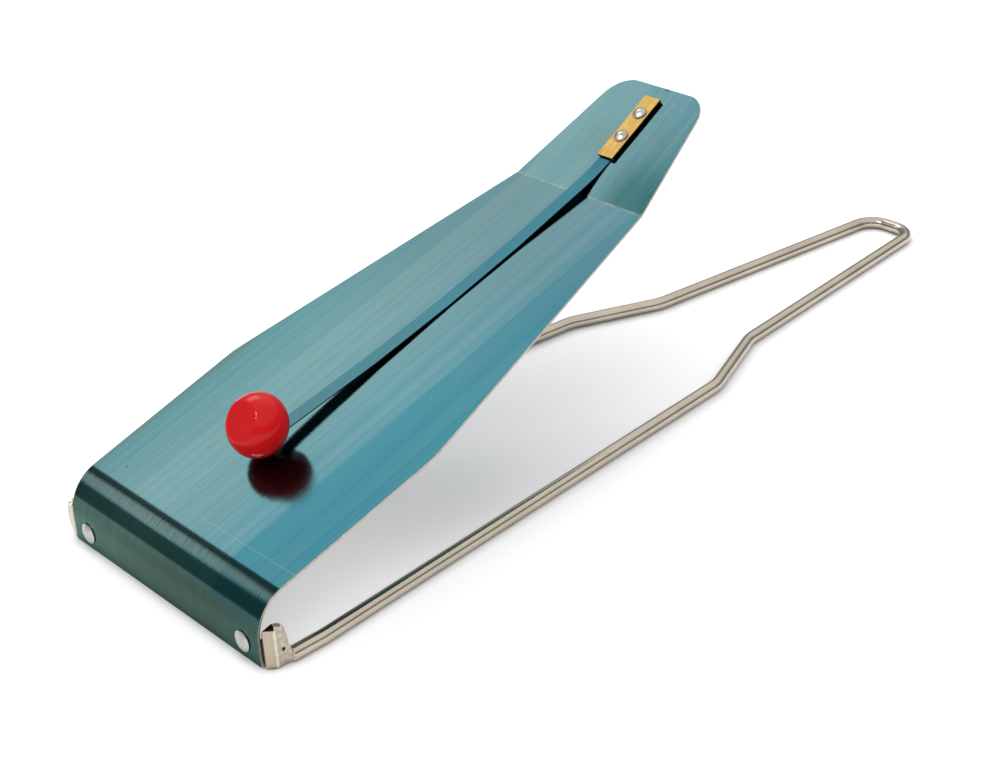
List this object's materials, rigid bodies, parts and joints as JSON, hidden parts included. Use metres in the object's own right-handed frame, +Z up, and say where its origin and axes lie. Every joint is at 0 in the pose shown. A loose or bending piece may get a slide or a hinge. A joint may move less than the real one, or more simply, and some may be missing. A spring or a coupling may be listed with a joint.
{
  "type": "flexatone",
  "caption": "Flexatone: a bent spring-steel tongue riveted across a wire frame, with bead-tipped leaf springs clamped above and below its thumb tab to strike it.",
  "frame": {"origin": "middle of the tongue flange's bottom edge, on its thickness to within half the sheet", "axes": "+Y from the flange towards the handle loop, +Z up off the surface that the frame lies on"},
  "size_m": [0.0882, 0.2899, 0.0802],
  "materials": {
    "blued_steel": "satin blued",
    "spring_steel": "satin blued",
    "nickel_wire": "nickel plate",
    "rivet_steel": "bright",
    "brass": "satin",
    "red_bead": "gloss"
  },
  "bodies": {
    "frame": {"wire_frame": "nickel_wire", "flange_rivet_left": "rivet_steel", "flange_rivet_right": "rivet_steel"},
    "tongue": {"tongue_plate": "blued_steel", "upper_clamp_plate": "brass", "lower_clamp_plate": "brass", "clamp_rivet_near": "rivet_steel", "clamp_rivet_far": "rivet_steel"},
    "upper_beater": {"upper_spring": "spring_steel", "upper_bead": "red_bead"},
    "lower_beater": {"lower_spring": "spring_steel", "lower_bead": "red_bead"}
  },
  "joints": [
    {"name": "tongue_flex", "type": "hinge", "parent": "frame", "child": "tongue", "pos_m": [0, 0.0116, 0.00752], "axis": [-1, 0, 0], "range_deg": [-3, 8], "stiffness_Nm_per_rad": 3, "springref_deg": -1.15, "deforming": ["tongue_plate"]},
    {"name": "upper_beater_swing", "type": "hinge", "parent": "tongue", "child": "upper_beater", "pos_m": [0, 0.15489, 0.06671], "axis": [-1, 0, 0], "range_deg": [-0.15, 8], "stiffness_Nm_per_rad": 0.08, "springref_deg": 2.52, "deforming": ["upper_spring"]},
    {"name": "lower_beater_swing", "type": "hinge", "parent": "tongue", "child": "lower_beater", "pos_m": [0, 0.15537, 0.06589], "axis": [1, 0, 0], "range_deg": [-0.75, 3.5], "stiffness_Nm_per_rad": 0.08, "springref_deg": -2.52, "deforming": ["lower_spring"]}
  ]
}
